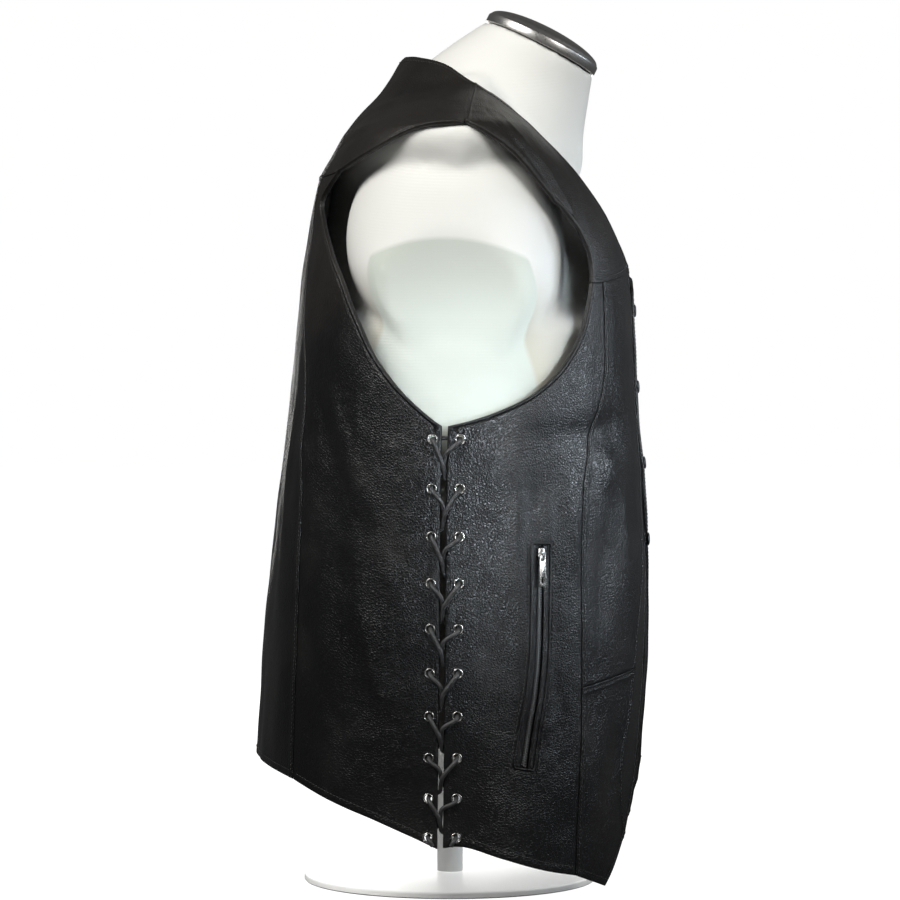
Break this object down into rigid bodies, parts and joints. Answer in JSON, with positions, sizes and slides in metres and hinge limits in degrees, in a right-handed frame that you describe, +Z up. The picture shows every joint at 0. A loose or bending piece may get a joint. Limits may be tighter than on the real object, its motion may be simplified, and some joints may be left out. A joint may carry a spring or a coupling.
{
  "type": "leather vest on a dress form",
  "caption": "Side-laced leather vest with zip pockets and snap front, worn by a limbless dress form on a low round stand.",
  "frame": {"origin": "centre of the underside of the stand's round base", "axes": "+Z up; the vest's front looks along -Y; the wearer's right is -X"},
  "size_m": [0.4192, 0.3346, 0.743],
  "materials": {
    "leather": "black pebbled cowhide with a soft sheen",
    "lining": "smooth black lining cloth",
    "lace": "dark grey leather lace",
    "zip_tape": "woven black tape",
    "nickel": "nickel plate",
    "black_enamel": "black enamel on low snap caps",
    "form_cloth": "cream jersey, plain and smooth",
    "cap_metal": "brushed silver",
    "stand_paint": "off-white satin paint"
  },
  "bodies": {
    "root": {"back_yoke": "leather", "back_centre": "leather", "back_side_right": "leather", "back_side_left": "leather", "front_yoke_right": "leather", "front_yoke_left": "leather", "front_upper_right": "leather", "front_upper_left": "leather", "front_lower_right": "leather", "front_lower_left": "leather", "front_side_right": "leather", "front_side_left": "leather", "front_band_right": "leather", "front_band_left": "leather", "welt_rear_right": "leather", "welt_rear_left": "leather", "welt_front_right": "leather", "welt_front_left": "leather", "zip_tape_right": "zip_tape", "zip_tape_left": "zip_tape", "zip_slider_right": "nickel", "zip_slider_left": "nickel", "side_lace_right": "lace", "side_lace_left": "lace", "snap_1": "black_enamel", "snap_2": "black_enamel", "snap_3": "black_enamel", "snap_4": "black_enamel", "form_torso": "form_cloth", "form_neck_cap": "cap_metal", "stand_pole": "stand_paint", "stand_base": "stand_paint"},
    "pull_right": {"zip_pull_right": "nickel"},
    "pull_left": {"zip_pull_left": "nickel"}
  },
  "joints": [
    {"name": "pull_right_swing", "type": "hinge", "parent": "root", "child": "pull_right", "pos_m": [-0.18373, -0.09002, 0.28474], "axis": [-0.5945, 0.8041, 0.0001], "range_deg": [0, 150]},
    {"name": "pull_left_swing", "type": "hinge", "parent": "root", "child": "pull_left", "pos_m": [0.18373, -0.09002, 0.28474], "axis": [-0.5945, -0.8041, -0.0001], "range_deg": [0, 150]}
  ]
}
